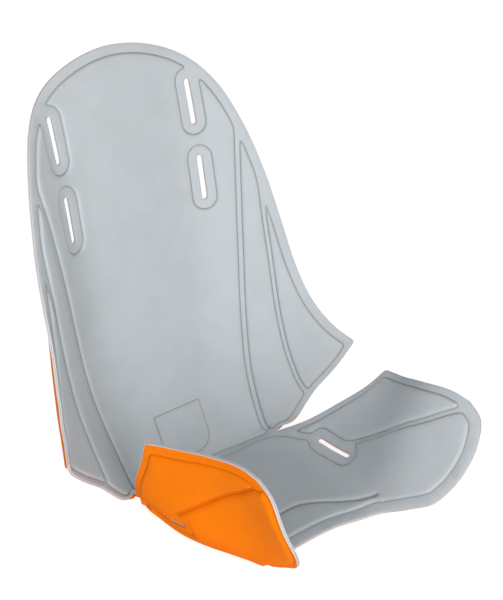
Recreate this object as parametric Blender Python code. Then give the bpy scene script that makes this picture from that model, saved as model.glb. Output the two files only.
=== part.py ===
"""Reversible moulded foam insert for a child's bicycle seat.

Two thin foam sheets, grey on the child's side and orange on the shell's side, are
bonded into one flat blank. The press leaves raised panels between flat borders,
grooves and slot pockets, and folds the blank at a crease into a back and a seat
whose sides rise as wings.

Each point of the blank has pattern coordinates: u runs across from the centre line,
and v along it from the crease, upwards on the back and, negative, forwards on the
seat. The pattern is the same on both sides of the centre line.
"""
import math

import bmesh
import bpy
import numpy as np
from mathutils.geometry import delaunay_2d_cdt

# Blank, all sizes in metres
BACK_LENGTH = 0.470
SEAT_LENGTH = 0.189
# Half widths of the back: below the top of the head, then above the crease
HEAD_PROFILE = ((0.000, 0.000), (0.010, 0.053), (0.020, 0.075), (0.037, 0.098), (0.062, 0.1175),
                (0.108, 0.138), (0.165, 0.1545))
FLANK_PROFILE = ((0.249, 0.166), (0.195, 0.176), (0.144, 0.189), (0.103, 0.207))
BACK_TIP = (0.224, 0.077)
BACK_LOWER_EDGE = ((0.197, 0.051), (0.160, 0.0265), (0.125, -0.001))
# Slit between the back wing and the seat wing
SLIT_END = (0.098, -0.0225)
SEAT_REAR_EDGE = ((0.128, -0.047), (0.165, -0.070), (0.200, -0.092))
SEAT_TIP = (0.222, -0.102)
SEAT_SIDE = ((0.2215, -0.119), (0.219, -0.150), (0.2175, -0.190), (0.2185, -0.234))
SEAT_LOBE = ((0.2155, -0.253), (0.204, -0.271), (0.178, -0.281), (0.152, -0.282), (0.127, -0.276),
             (0.109, -0.266), (0.090, -0.237), (0.070, -0.206))
FRONT_NOTCH = (0.046, -0.1945)
TIP_RADIUS = 0.005
SLIT_RADIUS = 0.002

# Sheets and the relief that the press leaves in them
SHEET_THICKNESS = 0.0015
BOND_GAP = 0.0003
GREY_RISE = 0.0022
ORANGE_RISE = 0.0040
STEP_WIDTH = 0.0030
PANEL_CORNER_RADIUS = 0.003
BACK_BORDER = 0.0102
SLIT_BORDER = 0.0070
SEAT_BORDER = 0.0080
FRONT_BORDER = 0.0145

# Harness slots, each in a flat pocket
SLOT_WIDTH = 0.0065
SLOT_LENGTH = 0.049
POCKET_MARGIN = 0.0105
BACK_SLOT_OFFSET = 0.0855
UPPER_SLOT_DROP = 0.0775
LOWER_SLOT_DROP = 0.1600
HIP_SLOT_OFFSET = 0.118
HIP_SLOT_REACH = 0.097

# Grooves between the panels, each by its width and the line of its middle
CREASE_WIDTH = 0.009
CREASE_DROP = 0.0030
CREASE_LINE = ((0.050, -0.0045), (0.075, -0.009))
INNER_GROOVE_WIDTH = 0.0055
INNER_GROOVE = ((0.139, 0.402), (0.1295, 0.345), (0.1215, 0.270), (0.1163, 0.208), (0.1075, 0.129),
                (0.0998, 0.073), (0.0965, 0.035), (0.095, -0.012))
OUTER_GROOVE_WIDTH = 0.0045
OUTER_GROOVE = ((0.149, 0.332), (0.1475, 0.275), (0.149, 0.200), (0.148, 0.126), (0.148, 0.080),
                (0.151, 0.042), (0.159, 0.016))
SLIT_GROOVE_WIDTH = 0.008
SLIT_GROOVE = ((0.092, -0.014), (0.101, -0.032), (0.107, -0.046), (0.114, -0.062))
WING_GROOVE_WIDTH = 0.0050
WING_GROOVE = ((0.131, -0.110), (0.144, -0.135), (0.1545, -0.159), (0.1665, -0.185),
               (0.180, -0.212), (0.1975, -0.238), (0.224, -0.277))
LIP_GROOVE_WIDTH = 0.003
LIP_GROOVE_REACH = 0.138
LIP_GROOVE = ((0.028, -0.139), (0.046, -0.150), (0.062, -0.164), (0.090, -0.194))

# Plain recessed field at the foot of the back
FIELD_HALF_WIDTH = 0.0305
FIELD_HEIGHT = 0.0545
FIELD_FOOT = 0.0135
FIELD_CORNER_RADIUS = 0.021
FIELD_DEPTH = 0.0010

# Mould: the bent middle surface of the pressed insert. The blank folds at the crease, and
# past the slits the corners of the back turn with the back.
FOLD_MIDDLE = 0.0045
FOLD_REACH = 0.0198
TURN_START = 0.092
TURN_WIDTH = 0.040
LEAN_STATIONS = (0.030, 0.200, 0.480)
LEAN_ANGLES = (28.0, 6.5, 13.3)
# Stations along the blank, and at each the half width of the flat middle, the width of
# the bend beside it and the angle of the wing, first on the left and then on the right
MOULD_STATIONS = (-0.300, -0.200, -0.110, 0.000, 0.110, 0.240, 0.480)
LEFT_FLATS = (0.0294, 0.0337, 0.0537, 0.0386, 0.0394, 0.0388, 0.0505)
LEFT_BENDS = (0.0625, 0.0719, 0.0863, 0.0695, 0.0712, 0.0705, 0.0788)
LEFT_ANGLES = (67.9, 73.5, 77.4, 40.2, 36.8, 33.0, 20.4)
RIGHT_FLATS = (0.0309, 0.0413, 0.0573, 0.0381, 0.0367, 0.0388, 0.0505)
RIGHT_BENDS = (0.0630, 0.0729, 0.0859, 0.0688, 0.0685, 0.0705, 0.0788)
RIGHT_ANGLES = (49.0, 56.9, 45.2, 36.9, 34.0, 33.0, 20.4)
# Further curl of the lower corners of the back, on the left and on the right
CURL_START = 0.140
CURL_WIDTH = 0.080
CURL_FOOT = (-0.030, 0.060)
CURL_TOP = (0.090, 0.140)
CURL_ANGLES = (17.4, 10.9)
# How far in front of the crease the insert's place of rest lies
REST_REACH = 0.075

# Fineness of the model
OUTLINE_STEP = 0.001
PRESS_LINE_STEP = 0.004
FIELD_STEP = 0.002
SMALLEST_LOOP = 8
CORNER_SIDES = 8
FIELD_CORNER_SIDES = 12
SECTION_SAMPLES = 24
POINTS_AT_ONCE = 4096
CHORD_ERROR = 0.00030
ACROSS_SPACING = 0.0115
ALONG_SPACING = 0.026
FOLD_SPACING = 0.008
CLEARANCE_TO_LINES = 0.0050
SLOT_END_SIDES = 5
SPINE_STEP = 0.002

GREY = (0.50, 0.53, 0.56)
ORANGE = (0.92, 0.21, 0.005)
FOAM_ROUGHNESS = 0.6
SHARP_EDGE_ANGLE = 35.0


def clear_scene():
    for thing in list(bpy.data.objects):
        bpy.data.objects.remove(thing, do_unlink=True)


def ease(t):
    """Smooth step from 0 to 1."""
    t = np.clip(t, 0.0, 1.0)
    return t * t * (3.0 - 2.0 * t)


def through(x, places, values):
    """Smooth curve of one variable through the values at the places."""
    places = np.asarray(places, float)
    values = np.asarray(values, float)
    gaps = np.diff(places)
    slopes = np.diff(values) / gaps
    tangents = np.empty(len(places))
    tangents[0] = slopes[0]
    tangents[-1] = slopes[-1]
    tangents[1:-1] = (slopes[:-1] * gaps[1:] + slopes[1:] * gaps[:-1]) / (gaps[1:] + gaps[:-1])
    x = np.clip(x, places[0], places[-1])
    i = np.clip(np.searchsorted(places, x) - 1, 0, len(gaps) - 1)
    t = (x - places[i]) / gaps[i]
    start = (2 * t**3 - 3 * t**2 + 1) * values[i] + (t**3 - 2 * t**2 + t) * gaps[i] * tangents[i]
    end = (3 * t**2 - 2 * t**3) * values[i + 1] + (t**3 - t**2) * gaps[i] * tangents[i + 1]
    return start + end


def smooth_line(points, step=OUTLINE_STEP):
    """Evenly spaced points on a smooth curve through the given ones."""
    points = np.asarray(points, float)
    lengths = np.hypot(*np.diff(points, axis=0).T)
    along = np.concatenate([[0.0], np.cumsum(lengths)])
    count = max(2, int(round(along[-1] / step)) + 1)
    s = np.linspace(0.0, along[-1], count)
    return np.stack([through(s, along, points[:, 0]), through(s, along, points[:, 1])], axis=1)


def fillet(before, after, radius):
    """Round the corner where two lines meet with an arc of about the radius."""
    gone_before = np.hypot(*(before - before[-1]).T) < radius
    gone_after = np.hypot(*(after - after[0]).T) < radius
    start = before[~gone_before][-1]
    end = after[~gone_after][0]
    t = np.linspace(0.0, 1.0, CORNER_SIDES + 1)[:, None]
    corner = before[-1]
    arc = (1 - t) ** 2 * start + 2 * t * (1 - t) * corner + t**2 * end
    return before[~gone_before][:-1], arc, after[~gone_after][1:]


def edge_lines():
    """The right half of the outline, as the five edges between its corners."""
    head = [(half, BACK_LENGTH - drop) for drop, half in HEAD_PROFILE]
    flank = [(half, height) for height, half in FLANK_PROFILE]
    mirrored = (-head[1][0], head[1][1])
    side = smooth_line([mirrored, *head, *flank, BACK_TIP])
    lower = smooth_line([BACK_TIP, *BACK_LOWER_EDGE, SLIT_END])
    rear = smooth_line([SLIT_END, *SEAT_REAR_EDGE, SEAT_TIP])
    seat_side = smooth_line([SEAT_TIP, *SEAT_SIDE, SEAT_LOBE[0]])
    mirrored_notch = (-FRONT_NOTCH[0], FRONT_NOTCH[1])
    front = smooth_line([*SEAT_LOBE, FRONT_NOTCH, (0.0, -SEAT_LENGTH), mirrored_notch])
    return side[side[:, 0] >= 0.0], lower, rear, seat_side, front[front[:, 0] >= 0.0]


def outline_of(edges):
    """The closed outline of the blank, with its corners rounded."""
    side, lower, rear, seat_side, front = edges
    side, tip_arc, lower = fillet(side, lower, TIP_RADIUS)
    lower, slit_arc, rear = fillet(lower, rear, SLIT_RADIUS)
    rear, seat_arc, seat_side = fillet(rear, seat_side, TIP_RADIUS)
    parts = [side, tip_arc, lower, slit_arc, rear, seat_arc, seat_side, front[1:]]
    right = np.concatenate(parts)
    right[0, 0] = 0.0
    right[-1, 0] = 0.0
    left = right[-2:0:-1] * (-1.0, 1.0)
    return np.concatenate([right, left])


def slots():
    """Each slot by the two ends of its middle line, right ones first."""
    reach = (SLOT_LENGTH - SLOT_WIDTH) / 2
    places = (
        (BACK_SLOT_OFFSET, BACK_LENGTH - UPPER_SLOT_DROP),
        (BACK_SLOT_OFFSET, BACK_LENGTH - LOWER_SLOT_DROP),
        (HIP_SLOT_OFFSET, -HIP_SLOT_REACH),
    )
    right = [np.array(((u, v + reach), (u, v - reach))) for u, v in places]
    return right + [ends * (-1.0, 1.0) for ends in right]


def slot_loop(top, foot):
    """Outline of one slot with round ends."""
    turns = np.linspace(0.0, math.pi, SLOT_END_SIDES + 1)
    arc = np.stack([np.cos(turns), np.sin(turns)], axis=1) * SLOT_WIDTH / 2
    middle = (top + foot) / 2
    return np.concatenate([top + arc, [middle + arc[-1]], foot - arc, [middle + arc[0]]])


def field_outline():
    """Outline of the plain field at the foot of the back: square above, round below."""
    top = FIELD_FOOT + FIELD_HEIGHT
    centre = np.array((FIELD_HALF_WIDTH - FIELD_CORNER_RADIUS, FIELD_FOOT + FIELD_CORNER_RADIUS))
    turns = np.linspace(0.0, -math.pi / 2, FIELD_CORNER_SIDES + 1)
    arc = centre + FIELD_CORNER_RADIUS * np.stack([np.cos(turns), np.sin(turns)], axis=1)
    right = np.concatenate([[(FIELD_HALF_WIDTH, top)], arc])
    return np.concatenate([right, right[::-1] * (-1.0, 1.0)])


def distance_to(points, line):
    """Distance from each point to a line through many points."""
    line = np.asarray(line, float)
    starts = line[:-1]
    runs = np.diff(line, axis=0)
    squares = (runs**2).sum(axis=1)
    nearest = np.empty(len(points))
    for first in range(0, len(points), POINTS_AT_ONCE):
        block = points[first:first + POINTS_AT_ONCE, None, :] - starts[None, :, :]
        t = np.clip((block * runs).sum(axis=2) / squares, 0.0, 1.0)
        away = block - t[:, :, None] * runs
        nearest[first:first + POINTS_AT_ONCE] = np.sqrt((away**2).sum(axis=2).min(axis=1))
    return nearest


def is_inside(points, loop):
    """Whether each point lies inside the closed loop."""
    inside = np.zeros(len(points), bool)
    for a, b in zip(loop, np.roll(loop, -1, axis=0)):
        if a[1] != b[1]:
            spans = (a[1] > points[:, 1]) != (b[1] > points[:, 1])
            crossing = a[0] + (points[:, 1] - a[1]) * (b[0] - a[0]) / (b[1] - a[1])
            inside ^= spans & (points[:, 0] < crossing)
    return inside


def press_lines():
    """What the press keeps flat: each line with the distance on both sides that stays flat."""
    every = round(PRESS_LINE_STEP / OUTLINE_STEP)
    side, lower, rear, seat_side, front = (line[::every] for line in edge_lines())
    crease = [(-CREASE_LINE[0][0], CREASE_LINE[0][1]), (0.0, -CREASE_DROP), *CREASE_LINE, SLIT_END]
    lip = [(-LIP_GROOVE[0][0], LIP_GROOVE[0][1]), (0.0, -LIP_GROOVE_REACH), *LIP_GROOVE]
    grooves = (
        (INNER_GROOVE, INNER_GROOVE_WIDTH),
        (OUTER_GROOVE, OUTER_GROOVE_WIDTH),
        (SLIT_GROOVE, SLIT_GROOVE_WIDTH),
        (WING_GROOVE, WING_GROOVE_WIDTH),
        (lip, LIP_GROOVE_WIDTH),
        (crease, CREASE_WIDTH),
    )
    borders = [
        [(side, BACK_BORDER)],
        [(lower, SLIT_BORDER)],
        [(rear, SLIT_BORDER)],
        [(seat_side, SEAT_BORDER), (front, FRONT_BORDER)],
    ]
    borders += [[(smooth_line(line, PRESS_LINE_STEP), width / 2)] for line, width in grooves]
    borders += [[(ends, SLOT_WIDTH / 2 + POCKET_MARGIN)] for ends in slots() if ends[0, 0] > 0.0]
    return borders


def panel_depth(points, outline):
    """How far inside a raised panel each point lies, below zero on what stays flat."""
    right = np.abs(points * (1.0, 0.0)) + points * (0.0, 1.0)
    margins = []
    for group in press_lines():
        margins.append(np.min([distance_to(right, line) - flat for line, flat in group], axis=0))
    short = np.clip(PANEL_CORNER_RADIUS - np.array(margins), 0.0, None)
    rounded = PANEL_CORNER_RADIUS - np.sqrt((short**2).sum(axis=0))
    depth = np.minimum(np.min(margins, axis=0), rounded)
    return np.where(is_inside(points, outline), depth, -BACK_BORDER)


def field_depth(points):
    """How far inside the plain field each point lies."""
    loop = field_outline()
    away = distance_to(points, np.concatenate([loop, loop[:1]]))
    return np.where(is_inside(points, loop), away, -away)


def relief(points, outline, rise):
    """Height of the panels over the flat border."""
    raised = rise * ease(panel_depth(points, outline) / STEP_WIDTH)
    return raised - FIELD_DEPTH * ease(field_depth(points) / STEP_WIDTH)


def level_loops(values, us, vs, level):
    """Closed loops along which the values on a grid equal the level."""
    above = values > level
    mixed = above[:-1, :-1].astype(int) + above[1:, :-1] + above[:-1, 1:] + above[1:, 1:]
    links = {}
    for i, j in np.argwhere((mixed > 0) & (mixed < 4)):
        sides = ((i, j, 1, 0), (i + 1, j, 0, 1), (i, j + 1, 1, 0), (i, j, 0, 1))
        cut = [side for side in sides if above[side[:2]] != above[side[0] + side[2], side[1] + side[3]]]
        for a, b in zip(cut[::2], cut[1::2]):
            links.setdefault(a, []).append(b)
            links.setdefault(b, []).append(a)
    loops = []
    while links:
        key = next(iter(links))
        chain = []
        while key in links:
            chain.append(key)
            ahead = [other for other in links.pop(key) if other in links]
            if ahead:
                key = ahead[0]
        loop = []
        for i, j, across, along in chain:
            here = values[i, j]
            t = (level - here) / (values[i + across, j + along] - here)
            loop.append((us[i] + t * across * (us[1] - us[0]), vs[j] + t * along * (vs[1] - vs[0])))
        loops.append(np.array(loop))
    return loops


def in_fold(v):
    return abs(v - FOLD_MIDDLE) < FOLD_REACH


def is_short(a, b):
    """Whether a step between two points of the blank is fine enough for the bends."""
    along = FOLD_SPACING if in_fold(a[1]) or in_fold(b[1]) else ALONG_SPACING
    return abs(b[0] - a[0]) <= ACROSS_SPACING and abs(b[1] - a[1]) <= along


def thin_out(line):
    """Fewest points of a line that follow it closely, in short steps, without its last point."""
    if len(line) < 3:
        return line[:-1]
    if np.array_equal(line[0], line[-1]):
        far = int(np.argmax(np.hypot(*(line - line[0]).T)))
    else:
        away = distance_to(line, line[[0, -1]])
        far = int(np.argmax(away))
        if away[far] < CHORD_ERROR:
            if is_short(line[0], line[-1]):
                return line[:1]
            far = len(line) // 2
    return np.concatenate([thin_out(line[:far + 1]), thin_out(line[far:])])


def closed(loop):
    return np.concatenate([loop, loop[:1]])


def relief_loops(outline):
    """Where the steps of the relief begin and end."""
    half = math.ceil(outline[:, 0].max() / FIELD_STEP) + 2
    us = np.arange(-half, half + 1) * FIELD_STEP
    vs = np.arange(outline[:, 1].min() - 2 * FIELD_STEP, outline[:, 1].max() + 3 * FIELD_STEP, FIELD_STEP)
    right = us[half:]
    grid = np.stack(np.meshgrid(right, vs, indexing="ij"), axis=-1).reshape(-1, 2)
    loops = []
    for depth in (panel_depth(grid, outline), field_depth(grid)):
        values = depth.reshape(len(right), len(vs))
        values = np.concatenate([values[:0:-1], values])
        for level in (0.0, STEP_WIDTH):
            loops += level_loops(values, us, vs, level)
    return [thin_out(closed(loop)) for loop in loops if len(loop) > SMALLEST_LOOP]


def inner_points(outline, lines):
    """Rows of points over the blank, clear of the lines."""
    rows = [0.0]
    while rows[-1] < outline[:, 1].max():
        rows.append(rows[-1] + (FOLD_SPACING if in_fold(rows[-1]) else ALONG_SPACING))
    while rows[0] > outline[:, 1].min():
        rows.insert(0, rows[0] - (FOLD_SPACING if in_fold(rows[0]) else ALONG_SPACING))
    count = math.ceil(outline[:, 0].max() / ACROSS_SPACING)
    points = []
    for number, v in enumerate(rows):
        shift = 0.5 * (number % 2)
        points += [((k + shift) * ACROSS_SPACING, v) for k in range(-count - 1, count + 1)]
    points = np.array(points)
    points = points[is_inside(points, outline)]
    clear = np.min([distance_to(points, closed(line)) for line in lines], axis=0)
    return points[clear > CLEARANCE_TO_LINES]


def triangulate(loops, loose):
    """Triangles over the blank that keep the loops as edges, and each loop's point numbers."""
    squeeze = ACROSS_SPACING / ALONG_SPACING
    points = np.concatenate([*loops, loose])
    edges = []
    starts = np.cumsum([0] + [len(loop) for loop in loops])
    for start, end in zip(starts[:-1], starts[1:]):
        edges += [(k, k + 1 if k + 1 < end else start) for k in range(start, end)]
    flat = [(float(u), float(v) * squeeze) for u, v in points]
    found, _, faces, sources, _, _ = delaunay_2d_cdt(flat, edges, [], 0, 1e-7)
    place = np.zeros(len(points), int)
    where = np.array([(p[0], p[1] / squeeze) for p in found])
    for number, source in enumerate(sources):
        if source:
            where[number] = points[source[0]]
            place[source] = number
    rings = [place[start:end] for start, end in zip(starts[:-1], starts[1:])][:1 + len(slots())]
    faces = np.array(faces)
    laid = np.array([tuple(p) for p in found])
    middles = laid[faces].mean(axis=1)
    kept = is_inside(middles, laid[rings[0]])
    for hole in rings[1:]:
        kept &= ~is_inside(middles, laid[hole])
    return where, faces[kept], rings


def slope_at(v, away):
    """Slope of the blank along its length at a distance from the centre line, in radians."""
    upright = 90.0 - through(v, LEAN_STATIONS, LEAN_ANGLES)
    past_slit = ease((away - TURN_START) / TURN_WIDTH) * (v > SLIT_END[1])
    return np.radians(upright * ease((v - FOLD_MIDDLE + FOLD_REACH) / (2 * FOLD_REACH) + past_slit))


def spine():
    """The bent centre line: v, then y from the place of rest and z from the seat."""
    count = math.ceil((BACK_LENGTH + SEAT_LENGTH) / SPINE_STEP)
    v = np.arange(-count, count + 1) * SPINE_STEP
    slope = slope_at(v, 0.0)
    steps = SPINE_STEP * np.stack([np.cos(slope), np.sin(slope)])
    path = np.cumsum(steps, axis=1) - steps / 2
    return v, path[0] - path[0, count] + REST_REACH, path[1] - path[1, 0]


def mould_point(u, v, line):
    """Points of the bent middle surface, before it is lifted onto the floor."""
    sides = ((LEFT_FLATS, RIGHT_FLATS), (LEFT_BENDS, RIGHT_BENDS), (LEFT_ANGLES, RIGHT_ANGLES))
    flat, bend, angle = (
        np.where(u < 0.0, through(v, MOULD_STATIONS, left), through(v, MOULD_STATIONS, right))
        for left, right in sides
    )
    curl = np.where(u < 0.0, *CURL_ANGLES)
    curl = curl * ease((v - CURL_FOOT[0]) / CURL_FOOT[1]) * ease(1.0 - (v - CURL_TOP[0]) / CURL_TOP[1])
    nodes, weights = np.polynomial.legendre.leggauss(SECTION_SAMPLES)
    away = np.abs(u)[:, None] * (nodes + 1.0) / 2
    weights = np.abs(u)[:, None] * weights / 2
    rise = angle[:, None] * ease((away - flat[:, None]) / bend[:, None])
    rise = np.radians(rise + curl[:, None] * ease((away - CURL_START) / CURL_WIDTH))
    slope = slope_at(v[:, None], away)
    line_v, line_y, line_z = line
    x = np.sign(u) * (np.cos(rise) * weights).sum(axis=1)
    y = np.interp(v, line_v, line_y) - (np.sin(rise) * np.sin(slope) * weights).sum(axis=1)
    z = np.interp(v, line_v, line_z) + (np.sin(rise) * np.cos(slope) * weights).sum(axis=1)
    return np.stack([x, y, z], axis=1)


def mould(points):
    """Where each point of the blank lies in space, and which way its grey side faces."""
    line = spine()
    u, v = points.T
    probe = SPINE_STEP / 2
    across = mould_point(u + probe, v, line) - mould_point(u - probe, v, line)
    along = mould_point(u, v + probe, line) - mould_point(u, v - probe, line)
    facing = np.cross(across, along)
    facing /= np.linalg.norm(facing, axis=1)[:, None]
    lift = BOND_GAP / 2 + SHEET_THICKNESS + ORANGE_RISE
    return mould_point(u, v, line) + (0.0, 0.0, lift), facing


def raise_off(points, height):
    """Points of space at a height over the blank's middle surface. Each slot is cut straight
    through, along the axis that the blank faces most at the slot."""
    middle, facing = mould(points)
    for ends in slots():
        rim = distance_to(points, ends) < SLOT_WIDTH / 2 + BOND_GAP
        _, across = mould(ends.mean(axis=0, keepdims=True))
        way = np.eye(3)[np.argmax(np.abs(across[0]))]
        facing[rim] = way / (facing[rim] @ way)[:, None]
    return middle + height[:, None] * facing


def add_material(name, colour):
    material = bpy.data.materials.new(name)
    material.use_nodes = True
    shader = material.node_tree.nodes["Principled BSDF"]
    shader.inputs["Base Color"].default_value = (*colour, 1.0)
    shader.inputs["Roughness"].default_value = FOAM_ROUGHNESS
    shader.inputs["Metallic"].default_value = 0.0
    return material


def add_sheet(name, side, rise, outer, bond, outline, colour):
    """One foam sheet: its pressed face, its flat bonded face and the cut walls between them."""
    outer_points, outer_faces, outer_rings = outer
    bond_points, bond_faces, bond_rings = bond
    heights = BOND_GAP / 2 + SHEET_THICKNESS + relief(outer_points, outline, rise)
    pressed = raise_off(outer_points, side * heights)
    bonded = raise_off(bond_points, np.full(len(bond_points), side * BOND_GAP / 2))
    faces = outer_faces.tolist() + (bond_faces + len(pressed)).tolist()
    for ring, lower_ring in zip(outer_rings, bond_rings):
        lower_ring = lower_ring + len(pressed)
        faces += np.stack([ring, np.roll(ring, -1), np.roll(lower_ring, -1), lower_ring], axis=1).tolist()
    mesh = bpy.data.meshes.new(name)
    mesh.from_pydata(np.concatenate([pressed, bonded]).tolist(), [], faces)
    shape = bmesh.new()
    shape.from_mesh(mesh)
    loose = [vertex for vertex in shape.verts if not vertex.link_faces]
    bmesh.ops.delete(shape, geom=loose, context="VERTS")
    bmesh.ops.triangulate(shape, faces=shape.faces)
    bmesh.ops.recalc_face_normals(shape, faces=shape.faces)
    shape.to_mesh(mesh)
    shape.free()
    mesh.shade_smooth()
    mesh.set_sharp_from_angle(angle=math.radians(SHARP_EDGE_ANGLE))
    mesh.materials.append(add_material(name, colour))
    sheet = bpy.data.objects.new(name, mesh)
    bpy.context.scene.collection.objects.link(sheet)
    return sheet


def main():
    clear_scene()
    outline = outline_of(edge_lines())
    rim = thin_out(closed(outline))
    holes = [slot_loop(top, foot) for top, foot in slots()]
    steps = relief_loops(outline)
    bond = triangulate([rim, *holes], inner_points(rim, [rim, *holes]))
    outer = triangulate([rim, *holes, *steps], inner_points(rim, [rim, *holes, *steps]))
    add_sheet("grey_face_foam", 1.0, GREY_RISE, outer, bond, outline, GREY)
    add_sheet("orange_back_foam", -1.0, ORANGE_RISE, outer, bond, outline, ORANGE)


main()
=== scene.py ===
"""Moulded foam insert of a child's bicycle seat: its fine shape, foam finishes and studio.

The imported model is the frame. The grey and the orange sheet are modelled again over their
solids, with the rounded shoulders of the pressed panels, the softened edges and the pale
cut rim, from the same blank and mould as the solids.
"""

import math
from collections import namedtuple
from functools import lru_cache

import bmesh
import bpy
import numpy as np
from bpy.props import FloatProperty, FloatVectorProperty, PointerProperty
from mathutils import Matrix, Vector
from mathutils.geometry import delaunay_2d_cdt
from mathutils.kdtree import KDTree


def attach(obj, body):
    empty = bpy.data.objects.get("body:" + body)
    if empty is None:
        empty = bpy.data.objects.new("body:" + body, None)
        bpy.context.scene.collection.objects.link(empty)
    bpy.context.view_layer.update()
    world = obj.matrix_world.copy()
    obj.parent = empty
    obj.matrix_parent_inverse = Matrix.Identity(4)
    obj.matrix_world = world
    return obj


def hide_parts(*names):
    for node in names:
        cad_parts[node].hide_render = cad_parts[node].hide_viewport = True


bl_info = {
    "name": "Foam Seat Insert",
    "version": (1, 0, 0),
    "blender": (4, 5, 0),
    "location": "View3D > Sidebar > Foam Insert",
    "description": "Builds the two bonded foam sheets of a child's bicycle seat insert",
    "category": "Object",
}

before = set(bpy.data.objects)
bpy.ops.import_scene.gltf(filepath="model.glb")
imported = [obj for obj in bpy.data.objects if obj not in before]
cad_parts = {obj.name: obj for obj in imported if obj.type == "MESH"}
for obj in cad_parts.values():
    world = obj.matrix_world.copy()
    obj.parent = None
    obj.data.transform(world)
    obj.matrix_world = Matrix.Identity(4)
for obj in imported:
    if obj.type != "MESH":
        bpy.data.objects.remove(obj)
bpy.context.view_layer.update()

# Blank, all sizes in metres
BACK_LENGTH = 0.470
SEAT_LENGTH = 0.189
# Half widths of the back: below the top of the head, then above the crease
HEAD_PROFILE = ((0.000, 0.000), (0.010, 0.053), (0.020, 0.075), (0.037, 0.098), (0.062, 0.1175),
                (0.108, 0.138), (0.165, 0.1545))
FLANK_PROFILE = ((0.249, 0.166), (0.195, 0.176), (0.144, 0.189), (0.103, 0.207))
BACK_TIP = (0.224, 0.077)
BACK_LOWER_EDGE = ((0.197, 0.051), (0.160, 0.0265), (0.125, -0.001))
# Slit between the back wing and the seat wing
SLIT_END = (0.098, -0.0225)
SEAT_REAR_EDGE = ((0.128, -0.047), (0.165, -0.070), (0.200, -0.092))
SEAT_TIP = (0.222, -0.102)
SEAT_SIDE = ((0.2215, -0.119), (0.219, -0.150), (0.2175, -0.190), (0.2185, -0.234))
SEAT_LOBE = ((0.2155, -0.253), (0.204, -0.271), (0.178, -0.281), (0.152, -0.282), (0.127, -0.276),
             (0.109, -0.266), (0.090, -0.237), (0.070, -0.206))
FRONT_NOTCH = (0.046, -0.1945)
# How far from the centre line the lobes at the front begin
LOBE_START = 0.072
TIP_RADIUS = 0.005
SLIT_RADIUS = 0.002

# Sheets and the relief that the press leaves in them
SHEET_THICKNESS = 0.0015
BOND_GAP = 0.0003
ORANGE_RISE = 0.0040
PANEL_CORNER_RADIUS = 0.0043
BACK_BORDER = 0.0102
SLIT_BORDER = 0.0070
# Borders of the seat: along its sides, round its lobes and along its front edge
GREY_SEAT_BORDERS = (0.0080, 0.0120, 0.0145)
ORANGE_SEAT_BORDERS = (0.0125, 0.0040, 0.0040)
# The orange sheet is pressed softer: the width of its grooves and the strength of the pinched dip
# and the painted crease shade at its shoulders' feet, as shares of the grey sheet's
ORANGE_GROOVE_SHARE = 0.35
ORANGE_PINCH_AND_SHADE_SHARE = 0.75

# Harness slots, each in a flat pocket
SLOT_WIDTH = 0.0065
SLOT_LENGTH = 0.049
POCKET_MARGIN = 0.0105
BACK_SLOT_OFFSET = 0.0855
UPPER_SLOT_DROP = 0.0775
LOWER_SLOT_DROP = 0.1600
HIP_SLOT_OFFSET = 0.118
HIP_SLOT_REACH = 0.097

# Grooves between the panels, each by its width and the line of its middle
CREASE_WIDTH = 0.009
CREASE_DROP = 0.0030
CREASE_LINE = ((0.050, -0.0045), (0.075, -0.009))
INNER_GROOVE_WIDTH = 0.0055
INNER_GROOVE = ((0.139, 0.402), (0.1295, 0.345), (0.1215, 0.270), (0.1163, 0.208), (0.1075, 0.129),
                (0.0998, 0.073), (0.0965, 0.035), (0.095, -0.012))
OUTER_GROOVE_WIDTH = 0.0045
OUTER_GROOVE = ((0.149, 0.332), (0.1475, 0.275), (0.149, 0.200), (0.148, 0.126), (0.148, 0.080),
                (0.151, 0.042), (0.159, 0.016))
SLIT_GROOVE_WIDTH = 0.008
SLIT_GROOVE = ((0.092, -0.014), (0.101, -0.032), (0.107, -0.046), (0.114, -0.062))
WING_GROOVE_WIDTH = 0.0050
WING_GROOVE = ((0.131, -0.110), (0.144, -0.135), (0.1545, -0.159), (0.1665, -0.185),
               (0.180, -0.212), (0.1975, -0.238), (0.224, -0.277))
LIP_GROOVE_WIDTH = 0.003
LIP_GROOVE_REACH = 0.138
LIP_GROOVE = ((0.028, -0.139), (0.046, -0.150), (0.062, -0.164), (0.090, -0.194))

# Plain recessed field at the foot of the back
FIELD_HALF_WIDTH = 0.0305
FIELD_HEIGHT = 0.0545
FIELD_FOOT = 0.0135
FIELD_CORNER_RADIUS = 0.021

# Mould: the bent middle surface of the pressed insert. The blank folds at the crease, and
# past the slits the corners of the back turn with the back.
FOLD_MIDDLE = 0.0045
FOLD_REACH = 0.0198
TURN_START = 0.092
TURN_WIDTH = 0.040
# The middle of the fold dips towards the slits, from this far off the centre line
FOLD_DIP = 0.014
DIP_START = 0.040
LEAN_STATIONS = (0.030, 0.200, 0.480)
LEAN_ANGLES = (28.0, 6.5, 13.3)
# Stations along the blank, and at each the half width of the flat middle, the width of
# the bend beside it and the angle of the wing, first on the left and then on the right
MOULD_STATIONS = (-0.300, -0.200, -0.110, 0.000, 0.110, 0.240, 0.480)
LEFT_FLATS = (0.0277, 0.0281, 0.0496, 0.0399, 0.0445, 0.0385, 0.0505)
LEFT_BENDS = (0.0561, 0.0838, 0.0920, 0.0743, 0.0802, 0.0728, 0.0788)
LEFT_ANGLES = (60.7, 76.1, 78.4, 47.0, 38.8, 31.4, 20.4)
RIGHT_FLATS = (0.0309, 0.0413, 0.0573, 0.0381, 0.0367, 0.0388, 0.0505)
RIGHT_BENDS = (0.0630, 0.0729, 0.0859, 0.0688, 0.0685, 0.0705, 0.0788)
RIGHT_ANGLES = (49.0, 56.9, 45.2, 36.9, 34.0, 33.0, 20.4)
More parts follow.
